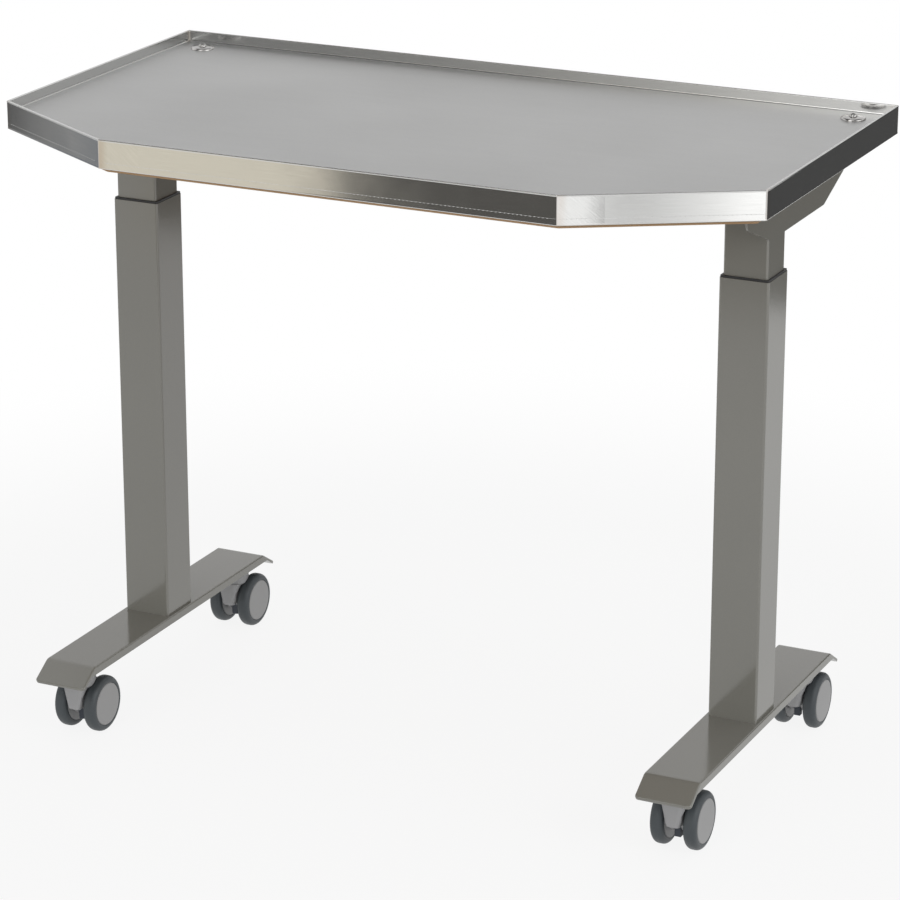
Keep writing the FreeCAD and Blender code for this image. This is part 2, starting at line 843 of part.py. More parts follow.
def make_hood(code, place):
    """The moulded housing of a caster: a round head, a front tongue and two cheeks by the axle."""
    body = new_body(f"hood_{code}")
    tongue = [
        ("-tongue_low_width / 2", "tongue_bottom"),
        ("tongue_low_width / 2", "tongue_bottom"),
        ("tongue_width / 2", "hood_skirt"),
        ("-tongue_width / 2", "hood_skirt"),
    ]
    face = polygon(body, "XZ_Plane", tongue, height="hood_radius")
    pad(body, face, "hood_radius - arch_front", backwards=True)

    def front_edge(edge, level):
        """Whether an edge lies in the tongue's face, along X or else up its side."""
        in_face = abs(edge.CenterOfMass.y + SIZES["hood_radius"]) < 0.001
        return in_face and runs_along(edge, 0) == level

    round_edges(body, "tongue_round", lambda edge: front_edge(edge, False))
    round_edges(
        body,
        "tongue_edge_round",
        lambda edge: front_edge(edge, True) and edge.CenterOfMass.z < SIZES["hood_waist"],
    )
    profile = [
        (0, "hood_waist"),
        ("cheek_width", "hood_waist"),
        ("hood_radius", "hood_skirt"),
        ("hood_radius", hood_top),
        (0, hood_top),
    ]
    revolve(body, polygon(body, "XZ_Plane", profile), "V_Axis")
    diagonal = "cheek_radius / sqrt(2)"
    cheek = [
        (f"caster_trail - {diagonal}", f"wheel_radius - {diagonal}"),
        ("caster_trail", "wheel_radius - cheek_radius"),
        (f"caster_trail + {diagonal}", f"wheel_radius - {diagonal}"),
        ("caster_trail + cheek_radius", "wheel_radius"),
        ("cheek_rear", "cheek_shoulder"),
        ("cheek_top_rear", "cheek_top"),
        ("-arch_front", "cheek_top"),
        ("-arch_front", "tongue_bottom"),
    ]
    pad(body, polygon(body, "YZ_Plane", cheek), "2 * cheek_width", both_ways=True)
    for sign in (-1, 1):
        room = circles(
            body,
            "YZ_Plane",
            [("caster_trail", "wheel_radius")],
            "wheel_radius + wheel_clear",
            f"{sign} * cheek_width",
        )
        pocket(body, room, "hood_radius", backwards=sign > 0)
    arch = [
        ("-arch_front", 0),
        ("pedal_reach", 0),
        ("pedal_reach", "arch_top"),
        ("arch_chamfer - arch_front", "arch_top"),
        ("-arch_front", "arch_top - arch_chamfer"),
    ]
    pocket(body, polygon(body, "YZ_Plane", arch), "arch_width", both_ways=True)
    stem_radius = "stem_diameter / 2 + running_gap"
    stem_hole = circles(body, "XY_Plane", [(0, 0)], stem_radius, hood_top)
    pocket(body, stem_hole, "stem_length")
    axle_hole = circles(
        body, "YZ_Plane", [("caster_trail", "wheel_radius")], "axle_diameter / 2"
    )
    pocket(body, axle_hole, "2 * axle_half", both_ways=True)
    pivot = [("pedal_pivot_y", "pedal_pivot_z")]
    pin_hole = circles(body, "YZ_Plane", pivot, "pedal_pin / 2 + running_gap")
    pocket(body, pin_hole, "2 * hood_radius", both_ways=True)
    stand(body, *place)
    return body


def make_pedal(code, place):
    """The brake pedal: a lever on its pin, a toe before the axle and a pad behind the wheels."""
    body = new_body(f"pedal_{code}")
    underside = "(pedal_pivot_z - pedal_depth)"
    toe_low = "pedal_pivot_z - pedal_toe_length"
    tread = [
        ("pedal_reach - pedal_pad_length", underside),
        ("pedal_reach", f"{underside} - pedal_pad_drop"),
        ("pedal_reach", f"{underside} - pedal_pad_drop + pedal_thickness"),
        ("pedal_reach - pedal_pad_length", f"{underside} + pedal_thickness"),
    ]
    lever = [
        ("pedal_pivot_y - pedal_hub", "pedal_pivot_z + pedal_hub"),
        ("pedal_pivot_y - pedal_hub", "pedal_pivot_z - pedal_toe_bend"),
        ("pedal_pivot_y - pedal_toe_front", toe_low),
        ("pedal_pivot_y + pedal_hub", toe_low),
        ("pedal_pivot_y + pedal_hub", underside),
        *tread,
        ("pedal_pivot_y + 2 * pedal_hub", "pedal_pivot_z + pedal_hub"),
    ]
    pad(body, polygon(body, "YZ_Plane", lever), "pedal_width", both_ways=True)
    pad(body, polygon(body, "YZ_Plane", tread), "pedal_pad_width", both_ways=True)
    pivot = [("pedal_pivot_y", "pedal_pivot_z")]
    pin = circles(body, "YZ_Plane", pivot, "pedal_pin / 2")
    pad(body, pin, "2 * (cheek_width - pedal_pin_inset)", both_ways=True)
    stand(body, *place)
    return body


def make_wheel(code, place, where, hand):
    """One wheel: a plastic centre with its closed cap outward, and the rubber tyre on it."""
    x, y = place
    centre = (x, f"{y} + caster_trail", "wheel_radius")
    rim = new_body(f"rim_{code}_{where}")
    near = f"{hand} * wheel_gap"
    disc = circles(rim, "YZ_Plane", [(0, 0)], "rim_radius", near)
    pad(rim, disc, "wheel_width", backwards=hand < 0)
    far = hand * (SIZES["wheel_gap"] + SIZES["wheel_width"])
    round_edges(rim, "cap_round", lambda edge: abs(edge.CenterOfMass.x - far) < 0.001)
    bore = circles(rim, "YZ_Plane", [(0, 0)], "axle_diameter / 2 + running_gap", near)
    depth = "axle_half + running_gap - wheel_gap"
    pocket(rim, bore, depth, backwards=hand > 0)
    stand(rim, *centre)

    tyre = new_body(f"tyre_{code}_{where}")
    inner_face = f"{hand} * (wheel_gap + tyre_inset)"
    ring = circles(tyre, "YZ_Plane", [(0, 0)], "wheel_radius", inner_face)
    width = "(wheel_width - 2 * tyre_inset)"
    pad(tyre, ring, width, backwards=hand < 0)
    round_edges(tyre, "tyre_round", lambda edge: edge.Curve.TypeId == "Part::GeomCircle")
    seat = circles(tyre, "YZ_Plane", [(0, 0)], "rim_radius", inner_face)
    pocket(tyre, seat, width, backwards=hand > 0)
    stand(tyre, *centre)
    return [rim, tyre]


def make_axle(code, place):
    """The steel axle pressed through the cheeks."""
    body = new_body(f"axle_{code}")
    x, y = place
    rod = circles(body, "YZ_Plane", [(0, 0)], "axle_diameter / 2")
    pad(body, rod, "2 * axle_half", both_ways=True)
    stand(body, x, f"{y} + caster_trail", "wheel_radius")
    return body


def make_caster(end_name, end, side, sign):
    """One twin-wheel caster, trailing to the rear."""
    code = f"{end_name}_{side}"
    place = caster_axis(sign, end)
    parts = [make_hood(code, place), make_axle(code, place), make_pedal(code, place)]
    for where, hand in (("outer", sign), ("inner", -sign)):
        parts += make_wheel(code, place, where, hand)
    return parts


def make_column(side, sign):
    """One column with its foot, drive and arm."""
    makers = (
        make_foot,
        make_outer_tube,
        make_collar,
        make_inner_tube,
        make_lower_glide,
        make_motor,
        make_spindle,
        make_nut_post,
        make_arm,
    )
    parts = [make(side, sign) for make in makers]
    return parts + make_foot_screws(side, sign) + make_caster_stems(side, sign)


subparts = [make_top_tray(), make_core_board(), make_cross_rail(), make_control_box()]
subparts += make_flanges() + make_handset() + make_frame_screws()
for side, sign in SIDES.items():
    subparts += make_column(side, sign)
    for end_name, end in ENDS.items():
        subparts += make_caster(end_name, end, side, sign)
document.recompute()

for thing in document.Objects:
    if "Invalid" in thing.State or "Error" in thing.State:
        raise ValueError(f"{thing.Name} did not build")
for thing in subparts:
    if thing.Shape.isNull() or not thing.Shape.isValid() or not thing.Shape.Solids:
        raise ValueError(f"{thing.Label} has no sound solid")

os.makedirs("parts", exist_ok=True)
for thing in subparts:
    thing.Shape.exportStep(f"parts/{thing.Label}.step")
print(f"{len(subparts)} sub-parts written")
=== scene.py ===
"""Mobile instrument table: a stainless tray on two lifting columns, each on a foot with twin casters.

Metres, in the frame of the CAD: +Z is up, +X runs along the table and -Y is its front.
"""
import math

import bmesh
import bpy
from mathutils import Matrix, Vector


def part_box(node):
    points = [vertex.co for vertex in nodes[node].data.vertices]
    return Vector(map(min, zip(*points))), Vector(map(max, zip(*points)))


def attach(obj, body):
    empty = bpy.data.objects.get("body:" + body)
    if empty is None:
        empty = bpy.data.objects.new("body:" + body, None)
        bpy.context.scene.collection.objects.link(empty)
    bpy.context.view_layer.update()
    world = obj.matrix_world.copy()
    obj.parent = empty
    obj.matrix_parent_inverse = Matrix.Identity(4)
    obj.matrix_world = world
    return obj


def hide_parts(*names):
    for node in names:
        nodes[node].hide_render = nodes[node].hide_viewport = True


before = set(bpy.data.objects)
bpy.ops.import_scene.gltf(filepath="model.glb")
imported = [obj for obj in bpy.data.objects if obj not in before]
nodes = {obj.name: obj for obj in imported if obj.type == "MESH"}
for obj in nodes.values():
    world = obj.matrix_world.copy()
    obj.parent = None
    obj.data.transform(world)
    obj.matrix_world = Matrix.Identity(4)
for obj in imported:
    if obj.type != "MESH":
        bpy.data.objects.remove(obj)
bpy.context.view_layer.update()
scene = bpy.context.scene
scene.view_settings.view_transform = "Standard"


# Camera: it stands in front of the table and to its right, above the tray, and looks
# down at it through a long lens.
camera_place = (1.909, -3.925, 1.896)
camera_turn = 0.447
camera_dip = 0.3303
camera_lens = 143.5

camera_data = bpy.data.cameras.new("camera")
camera_data.sensor_width = 36
camera_data.lens = camera_lens
camera_data.clip_end = 80
camera = bpy.data.objects.new("camera", camera_data)
sight = Vector((
    -math.sin(camera_turn) * math.cos(camera_dip),
    math.cos(camera_turn) * math.cos(camera_dip),
    -math.sin(camera_dip),
))
camera.location = camera_place
camera.rotation_euler = sight.to_track_quat("-Z", "Y").to_euler()
scene.collection.objects.link(camera)
scene.camera = camera


# Floor and daylight: white paper that fades into a white room. Mirrors and gloss see
# the same white, while the light that falls on the table from all round is softer.
room_light = 0.36
paper_lift = 0.88
paper_near = 0.8
paper_far = 1.7


def add_node(tree, kind, inputs=None, **settings):
    """A node with its settings, and its inputs set to values or linked to other sockets."""
    made = tree.nodes.new(kind)
    for name, value in settings.items():
        setattr(made, name, value)
    for name, value in (inputs or {}).items():
        if isinstance(value, bpy.types.NodeSocket):
            tree.links.new(value, made.inputs[name])
        else:
            made.inputs[name].default_value = value
    return made


def math_node(tree, operation, *values):
    """The result of one sum on numbers or sockets."""
    return add_node(tree, "ShaderNodeMath", dict(enumerate(values)), operation=operation).outputs[0]


def seen_strength(tree):
    """1 for what the camera, gloss and glass see, and the room's light for everything else."""
    path = add_node(tree, "ShaderNodeLightPath").outputs
    seen = math_node(tree, "MAXIMUM", path["Is Camera Ray"], path["Is Glossy Ray"])
    seen = math_node(tree, "MAXIMUM", seen, path["Is Transmission Ray"])
    return math_node(tree, "MULTIPLY_ADD", seen, 1 - room_light, room_light)


world = bpy.data.worlds.new("room")
world.use_nodes = True
background = world.node_tree.nodes["Background"]
background.inputs["Color"].default_value = (1, 1, 1, 1)
world.node_tree.links.new(seen_strength(world.node_tree), background.inputs["Strength"])
scene.world = world

paper = bpy.data.materials.new("floor_paper")
paper.use_nodes = True
tree = paper.node_tree
tree.nodes.clear()
place = add_node(tree, "ShaderNodeTexCoord").outputs["Object"]
reach = add_node(tree, "ShaderNodeVectorMath", {0: place}, operation="LENGTH").outputs["Value"]
fade = add_node(
    tree,
    "ShaderNodeMapRange",
    {"Value": reach, "From Min": paper_near, "From Max": paper_far, "To Min": paper_lift},
    interpolation_type="SMOOTHSTEP",
).outputs["Result"]
matt = add_node(tree, "ShaderNodeBsdfDiffuse", {"Color": (0.9, 0.9, 0.9, 1)}).outputs[0]
glow = add_node(tree, "ShaderNodeEmission", {"Strength": seen_strength(tree)}).outputs[0]
mixed = add_node(tree, "ShaderNodeMixShader", {0: fade, 1: matt, 2: glow}).outputs[0]
add_node(tree, "ShaderNodeOutputMaterial", {"Surface": mixed})


def mesh_object(name, corners, faces, edges=()):
    """A mesh object from its corners and faces, or a line from its corners and edges."""
    mesh = bpy.data.meshes.new(name)
    mesh.from_pydata([tuple(corner) for corner in corners], list(edges), faces)
    mesh.update()
    made = bpy.data.objects.new(name, mesh)
    scene.collection.objects.link(made)
    return made


floor_half = 15
floor = mesh_object(
    "floor",
    [(x * floor_half, y * floor_half, 0) for x, y in ((-1, -1), (1, -1), (1, 1), (-1, 1))],
    [(0, 1, 2, 3)],
)
floor.data.materials.append(paper)


# Lamps: soft boxes overhead, to the right and in front. Most light comes from the sides, so
# the columns are as bright as the tops of the feet; the front one isn't seen in the steel.
def soft_box(name, place, aim, side, power, in_gloss=True):
    """A square area lamp that faces a point, and whether gloss shows it."""
    lamp = bpy.data.lights.new(name, "AREA")
    lamp.size = side
    lamp.energy = power
    made = bpy.data.objects.new(name, lamp)
    made.location = place
    made.rotation_euler = (Vector(aim) - Vector(place)).to_track_quat("-Z", "Y").to_euler()
    made.visible_glossy = in_gloss
    scene.collection.objects.link(made)


soft_box("lamp_overhead", (0, 0, 3.4), (0, 0, 0.8), 2.6, 10)
soft_box("lamp_right", (4.6, -0.9, 2.2), (0, 0, 0.5), 3.0, 56)
soft_box("lamp_front", (-0.5, -4.6, 0.9), (0, 0, 0.45), 3.0, 58, in_gloss=False)


# Reflector cards: what the polished rim mirrors in a studio. They stand round the table,
# light nothing, and only gloss sees them.
def card(name, corners, tones, strength=1.0):
    """A flat card on four corners; its tones are colours at shares of the way across it."""
    made = mesh_object(name, corners, [(0, 1, 2, 3)])
    layer = made.data.uv_layers.new(name="across")
    for loop, place in zip(layer.data, ((0, 0), (1, 0), (1, 1), (0, 1))):
        loop.uv = place
    material = bpy.data.materials.new(name)
    material.use_nodes = True
    tree = material.node_tree
    tree.nodes.clear()
    across = add_node(tree, "ShaderNodeUVMap", uv_map="across").outputs[0]
    across = add_node(tree, "ShaderNodeSeparateXYZ", {0: across}).outputs["X"]
    ramp = add_node(tree, "ShaderNodeValToRGB", {"Fac": across})
    stops = ramp.color_ramp.elements
    while len(stops) < len(tones):
        stops.new(1)
    for stop, (share, colour) in zip(stops, tones):
        stop.position = share
        stop.color = (*colour, 1)
    light = add_node(
        tree, "ShaderNodeEmission", {"Color": ramp.outputs["Color"], "Strength": strength}
    ).outputs[0]
    add_node(tree, "ShaderNodeOutputMaterial", {"Surface": light})
    made.data.materials.append(material)
    made.visible_camera = False
    made.visible_diffuse = False
    made.visible_shadow = False
    made.visible_transmission = False
    made.visible_volume_scatter = False


def upright_card(name, start, end, low, high, tones, strength=1.0):
    """An upright card over a line on the floor."""
    corners = [(*start, low), (*end, low), (*end, high), (*start, high)]
    card(name, corners, tones, strength)


def grey(tone):
    """A neutral colour."""
    return (tone, tone, tone)


card_low = 0.02
card_top = 1.1
cream = (0.92, 0.86, 0.73)
umber = (0.125, 0.12, 0.112)
upright_card(
    "card_front", (-1.6, -2.0), (0.2, -2.0), card_low, card_top,
    [
        (0, cream), (0.35, cream), (0.4, (0.84, 0.78, 0.66)), (0.405, (0.36, 0.345, 0.31)),
        (0.45, umber), (0.64, umber),
    ],
)
upright_card(
    "card_right", (1.5, -2.0), (2.3, -2.0), card_low, card_top,
    [
        (0, grey(0.74)), (0.275, grey(0.74)), (0.28, grey(0.36)), (0.42, grey(0.48)),
        (0.57, grey(0.62)), (0.65, grey(0.72)), (0.7, grey(0.84)), (0.76, grey(1.0)),
    ],
    strength=1.8,
)
upright_card(
    "card_rear", (0.4, 2.0), (2.1, 2.0), card_low, card_top, [(0, grey(0.085)), (1, grey(0.085))]
)
upright_card(
    "card_left", (-2.5, 0.4), (-2.5, -0.6), card_low, card_top,
    [
        (0, grey(0.13)), (0.43, grey(0.15)), (0.44, grey(0.22)), (0.54, grey(0.42)),
        (0.565, grey(0.4)), (0.585, (0.22, 0.24, 0.27)),
    ],
)
upright_card("card_camera", (0.8, -4.6), (3.4, -3.8), 1.0, 2.9, [(0, grey(0.05)), (1, grey(0.05))])
upright_card(
    "card_glow", (-3.0, -2.5), (0.6, -2.5), card_top, 3.4,
    [(0, grey(0.08)), (0.48, grey(0.12)), (0.6, (0.5, 0.48, 0.44)), (0.7, grey(1.0))],
    strength=2.4,
)
upright_card(
    "card_wall", (-3.2, 3.0), (1.0, 3.0), 1.45, 2.7, [(0, grey(0.86)), (0.5, grey(0.8)), (1, grey(0.98))]
)
overhead = 3.1
card(
    "card_overhead",
    [(-2.0, -1.7, overhead), (2.0, -1.7, overhead), (2.0, 2.4, overhead), (-2.0, 2.4, overhead)],
    [(0, grey(0.06)), (0.4, grey(0.1)), (0.44, grey(0.9)), (0.56, grey(0.9)), (0.6, grey(0.1))],
)
card(
    "card_strip",
    [(-2.4, -3.2, 3.6), (2.4, -3.2, 3.6), (2.4, -2.9, 4.0), (-2.4, -2.9, 4.0)],
    [(0, grey(1.0)), (1, grey(1.0))],
    strength=3.5,
)


# Casters: twin wheels on one axle under a moulded grey hood that swivels on a steel pin.
# Tyres are soft blue-grey rubber, wheel centres grey plastic with a closed cap, and the
# brake pedal has a ribbed tread.
sides = {"left": -1, "right": 1}
casters = [f"{end}_{side}" for end in ("front", "rear") for side in sides]
wheel_radius = 0.0375
wheel_seat = 0.0285
tyre_side = 0.00895
tyre_shoulder = 0.007
tyre_groove = 0.0003
ring_core = 0.00001
tread_from_back = 0.0115
tread_rise = 0.0347
rib_count = 4
rib_pitch = 0.0026
rib_length = 0.019
rib_width = 0.0011
rib_height = 0.0008


def new_material(name, **settings):
    """A material, its node tree and its Principled shader with plain settings."""
    material = bpy.data.materials.new(name)
    material.use_nodes = True
    shader = material.node_tree.nodes["Principled BSDF"]
    for label, value in settings.items():
        shader.inputs[label.replace("_", " ")].default_value = value
    return material, material.node_tree, shader


def node_group(name, kind, inputs, outputs):
    """An empty node group with named sockets, and its two ends."""
    group = bpy.data.node_groups.new(name, kind)
    for label, socket_kind, value in inputs:
        socket = group.interface.new_socket(
            label, in_out="INPUT", socket_type=f"NodeSocket{socket_kind}"
        )
        if value is not None:
            socket.default_value = value
    for label, socket_kind in outputs:
        group.interface.new_socket(label, in_out="OUTPUT", socket_type=f"NodeSocket{socket_kind}")
    return group, group.nodes.new("NodeGroupInput").outputs, group.nodes.new("NodeGroupOutput").inputs


def grain_effect():
    """Fine grain that can be drawn out along one direction."""
    group, given, result = node_group(
        "grain",
        "ShaderNodeTree",
        [("Vector", "Vector", None), ("Stretch", "Vector", (1, 1, 1)), ("Scale", "Float", 1000.0)],
        [("Grain", "Float")],
    )
    drawn = add_node(
        group, "ShaderNodeVectorMath", {0: given["Vector"], 1: given["Stretch"]}, operation="MULTIPLY"
    ).outputs[0]
    noise = add_node(
        group,
        "ShaderNodeTexNoise",
        {"Vector": drawn, "Scale": given["Scale"], "Detail": 3.0, "Roughness": 0.7},
    ).outputs["Fac"]
    group.links.new(noise, result["Grain"])
    return group


def smudge_effect():
    """Soft broad patches from handling and cleaning, from 0 to 1."""
    group, given, result = node_group(
        "smudges",
        "ShaderNodeTree",
        [("Vector", "Vector", None), ("Scale", "Float", 8.0)],
        [("Mask", "Float")],
    )
    noise = add_node(
        group,
        "ShaderNodeTexNoise",
        {"Vector": given["Vector"], "Scale": given["Scale"], "Detail": 2.0, "Roughness": 0.4},
    ).outputs["Fac"]
    mask = add_node(
        group,
        "ShaderNodeMapRange",
        {"Value": noise, "From Min": 0.2, "From Max": 0.8},
        interpolation_type="SMOOTHSTEP",
    ).outputs["Result"]
    group.links.new(mask, result["Mask"])
    return group


grain = grain_effect()
smudges = smudge_effect()


def place_group(tree, group, **inputs):
    """One use of a shared effect in a material."""
    return add_node(tree, "ShaderNodeGroup", inputs, node_tree=group).outputs[0]


def between(tree, share, low, high):
    """A number between two others, by a share from 0 to 1."""
    return add_node(
        tree, "ShaderNodeMapRange", {"Value": share, "To Min": low, "To Max": high}
    ).outputs["Result"]


def blend_colour(tree, share, first, second):
    """A colour between two others, by a share from 0 to 1."""
    inputs = {"Factor": share}
    for index, colour in ((6, first), (7, second)):
        inputs[index] = (*colour, 1) if isinstance(colour, tuple) else colour
    return add_node(tree, "ShaderNodeMix", inputs, data_type="RGBA").outputs[2]


def moulded(name, dark, light, rough, grain_scale=2200.0, grain_depth=0.00003, metal=0.0):
    """A skin with fine grain and faint smudges: plastic, rubber, paint or plated steel."""
    material, tree, shader = new_material(name, Metallic=metal)
    place = add_node(tree, "ShaderNodeTexCoord").outputs["Object"]
    fine = place_group(tree, grain, Vector=place, Scale=grain_scale)
    soft = place_group(tree, smudges, Vector=place, Scale=14.0)
    tone = math_node(tree, "MULTIPLY_ADD", fine, 0.7, math_node(tree, "MULTIPLY", soft, 0.3))
    tree.links.new(blend_colour(tree, tone, dark, light), shader.inputs["Base Color"])
    tree.links.new(between(tree, soft, rough[0], rough[1]), shader.inputs["Roughness"])
    bump = add_node(tree, "ShaderNodeBump", {"Height": fine, "Distance": grain_depth}).outputs[0]
    tree.links.new(bump, shader.inputs["Normal"])
    return material


tyre_rubber = moulded(
    "tyre_rubber", (0.052, 0.062, 0.068), (0.078, 0.09, 0.098), (0.42, 0.55), grain_scale=1500.0
)
cap_plastic = moulded("cap_plastic", (0.4, 0.4, 0.4), (0.46, 0.46, 0.46), (0.4, 0.5))
hood_plastic = moulded("hood_plastic", (0.4, 0.4, 0.405), (0.46, 0.46, 0.465), (0.36, 0.48))
pedal_plastic = moulded("pedal_plastic", (0.03, 0.037, 0.05), (0.045, 0.054, 0.07), (0.45, 0.6))
zinc_steel = moulded(
    "zinc_steel", (0.48, 0.48, 0.46), (0.6, 0.6, 0.58), (0.28, 0.42), grain_scale=600.0, metal=1.0
)


def finish_nodes(material, *names):
    """Gives CAD nodes a finished material."""
    for name in names:
        slots = nodes[name].material_slots
        if not slots:
            nodes[name].data.materials.append(material)
        for slot in slots:
            slot.material = material


def smooth_by_angle(made, degrees=30):
    """Turns a piece's faces outward and shades it smooth but for its sharp edges."""
    bm = bmesh.new()
    bm.from_mesh(made.data)
    bmesh.ops.remove_doubles(bm, verts=bm.verts, dist=0.000001)
    bmesh.ops.recalc_face_normals(bm, faces=bm.faces)
    bm.to_mesh(made.data)
    bm.free()
    made.data.shade_smooth()
    made.data.set_sharp_from_angle(angle=math.radians(degrees))


def fit(made, body, slot, *replaced):
    """Puts a finished piece on its body and hides the CAD nodes it stands for; the slot is not used."""
    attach(made, body)
    if replaced:
        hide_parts(*replaced)


def grown(name, tree, **inputs):
    """The plain mesh that a Geometry Nodes tree makes from its inputs."""
    made = mesh_object(name, [], [])
    modifier = made.modifiers.new("grow", "NODES")
    modifier.node_group = tree
    for item in tree.interface.items_tree:
        if item.in_out == "INPUT":
            modifier[item.identifier] = inputs[item.name.lower()]
    bpy.context.view_layer.update()
    seen = made.evaluated_get(bpy.context.evaluated_depsgraph_get())
    mesh = bpy.data.meshes.new_from_object(seen)
    made.modifiers.clear()
    made.data = mesh
    return made


def from_object(tree, source):
    """The geometry of a helper object."""
    return add_node(tree, "GeometryNodeObjectInfo", {"Object": source}).outputs["Geometry"]


def ring_tree():
    """Carries a closed profile round a circle about Z."""
    tree, given, result = node_group(
        "ring",
        "GeometryNodeTree",
        [("Profile", "Object", None), ("Steps", "Int", None), ("Radius", "Float", None),
         ("Finish", "Material", None)],
        [("Geometry", "Geometry")],
    )
    circle = add_node(
        tree,
        "GeometryNodeCurvePrimitiveCircle",
        {"Resolution": given["Steps"], "Radius": given["Radius"]},
    ).outputs["Curve"]
    profile = add_node(
        tree, "GeometryNodeMeshToCurve", {"Mesh": from_object(tree, given["Profile"])}
    ).outputs["Curve"]
    skin = add_node(
        tree, "GeometryNodeCurveToMesh", {"Curve": circle, "Profile Curve": profile}
    ).outputs[0]
    dressed = add_node(
        tree, "GeometryNodeSetMaterial", {"Geometry": skin, "Material": given["Finish"]}
    ).outputs[0]
    tree.links.new(dressed, result[0])
    return tree


def row_tree():
    """Sets copies of a small piece along a path, each turned about Z to the path's run."""
    tree, given, result = node_group(
        "row",
        "GeometryNodeTree",
        [("Path", "Object", None), ("Piece", "Object", None), ("Spacing", "Float", None),
         ("Finish", "Material", None)],
        [("Geometry", "Geometry")],
    )
    line = add_node(
        tree, "GeometryNodeMeshToCurve", {"Mesh": from_object(tree, given["Path"])}
    ).outputs["Curve"]
    spots = add_node(
        tree, "GeometryNodeCurveToPoints", {"Curve": line, "Length": given["Spacing"]}, mode="LENGTH"
    ).outputs
    facing = add_node(
        tree,
        "FunctionNodeAlignRotationToVector",
        {"Vector": spots["Tangent"]},
        axis="X",
        pivot_axis="Z",
    ).outputs[0]
    copies = add_node(
        tree,
        "GeometryNodeInstanceOnPoints",
        {
            "Points": spots["Points"],
            "Instance": from_object(tree, given["Piece"]),
            "Rotation": facing,
        },
    ).outputs[0]
    solid = add_node(tree, "GeometryNodeRealizeInstances", {"Geometry": copies}).outputs[0]
    dressed = add_node(
        tree, "GeometryNodeSetMaterial", {"Geometry": solid, "Material": given["Finish"]}
    ).outputs[0]
    tree.links.new(dressed, result[0])
    return tree


ring = ring_tree()
row = row_tree()


def line_object(name, points, closed=False):
    """A helper line through points."""
    edges = [(step, step + 1) for step in range(len(points) - 1)]
    if closed:
        edges.append((len(points) - 1, 0))
    return mesh_object(name, points, [], edges)


def row_of(name, runs, piece, spacing, finish):
    """One object with copies of a small piece along each of several straight runs."""
    points = [point for run in runs for point in run]
    edges = [(2 * index, 2 * index + 1) for index in range(len(runs))]
    path = mesh_object(f"{name}_path", points, [], edges)
    made = grown(name, row, path=path, piece=piece, spacing=spacing, finish=finish)
    for helper in (path, piece):
        bpy.data.objects.remove(helper)
    smooth_by_angle(made)
    return made


def bar(name, length, depth, height):
    """A small bar, longest along Y, with its upper edges chamfered."""
    half_x, half_y = depth / 2, length / 2
    edge = min(depth, height) / 3
    outline = [(-half_x, 0), (-half_x, height - edge), (edge - half_x, height)]
    outline += [(-across, along) for across, along in reversed(outline)]
    count = len(outline)
    corners = [(x, y, z) for y in (-half_y, half_y) for x, z in outline]
    faces = [(step, (step + 1) % count, (step + 1) % count + count, step + count) for step in range(count)]
    faces += [tuple(range(count)), tuple(range(2 * count - 1, count - 1, -1))]
    return mesh_object(name, corners, faces)


def arc_points(centre, radius, start, end, steps):
    """Points on an arc in a plane, by angles in degrees."""
    turns = [math.radians(start + (end - start) * step / steps) for step in range(steps + 1)]
    return [(centre[0] + radius * math.cos(turn), centre[1] + radius * math.sin(turn)) for turn in turns]


def tyre_profile():
    """A tyre's section, by distance from the wheel's middle less the ring's own small radius."""
    lip = wheel_radius - tyre_shoulder
    upper = arc_points((lip, tyre_side - tyre_shoulder), tyre_shoulder, 0, 90, 9)
    upper += [(lip - 2 * tyre_groove, tyre_side), (lip - 0.001, tyre_side - tyre_groove)]
    upper += [(wheel_seat + 0.0002, tyre_side - tyre_groove), (wheel_seat, tyre_side - 2 * tyre_groove)]
    lower = [(across, -along) for across, along in reversed(upper)]
    return [(across - ring_core, along, 0) for across, along in lower + upper]


def make_tyres():
    """The eight rubber tyres, each in place on its wheel."""
    profile = line_object("tyre_profile", tyre_profile(), closed=True)
    pattern = grown("tyre", ring, profile=profile, steps=128, radius=ring_core, finish=tyre_rubber)
    smooth_by_angle(pattern, 40)
    upright = Matrix.Rotation(math.pi / 2, 4, "Y")
    for code in casters:
        for where in ("outer", "inner"):
            name = f"{code}_{where}"
            low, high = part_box(f"tyre_{name}")
            made = bpy.data.objects.new(f"tread_{name}", pattern.data.copy())
            made.data.transform(Matrix.Translation((low + high) / 2) @ upright)
            scene.collection.objects.link(made)
            fit(made, f"wheel_{name}", "tyre_rubber", f"tyre_{name}")
    for helper in (profile, pattern):
        bpy.data.objects.remove(helper)


def make_tread_ribs():
    """The ribs across each brake pedal's tread."""
    length = rib_pitch * (rib_count - 1)
    for code in casters:
        low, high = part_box(f"pedal_{code}")
        x = (low.x + high.x) / 2
        start = (x, high.y - tread_from_back, low.z + tread_rise)
        stop = (x, start[1] + length, start[2] - length / 3)
        rib = bar("rib", rib_length, rib_width, rib_height)
        made = row_of(f"tread_ribs_{code}", [(start, stop)], rib, rib_pitch, pedal_plastic)
        fit(made, f"brake_{code}", "pedal_plastic")


for code in casters:
    finish_nodes(hood_plastic, f"hood_{code}")
    finish_nodes(zinc_steel, f"axle_{code}")
    finish_nodes(pedal_plastic, f"pedal_{code}")
    finish_nodes(cap_plastic, f"rim_{code}_outer", f"rim_{code}_inner")
    finish_nodes(tyre_rubber, f"tyre_{code}_outer", f"tyre_{code}_inner")
make_tyres()
make_tread_ribs()


# Feet, columns and arms: folded plate and square steel tube, powder coated in one warm
# grey, smooth and glossy enough for a foot to mirror its column. Socket screws hold them.
column_offset = 0.4255
column_back = 0.0255
foot_screw_spread = 0.02
foot_underside = 0.101
arm_underside = 0.797
arm_screw_row = 0.4223
arm_screw_places = (-0.059, -0.0245, 0.1005, 0.237)


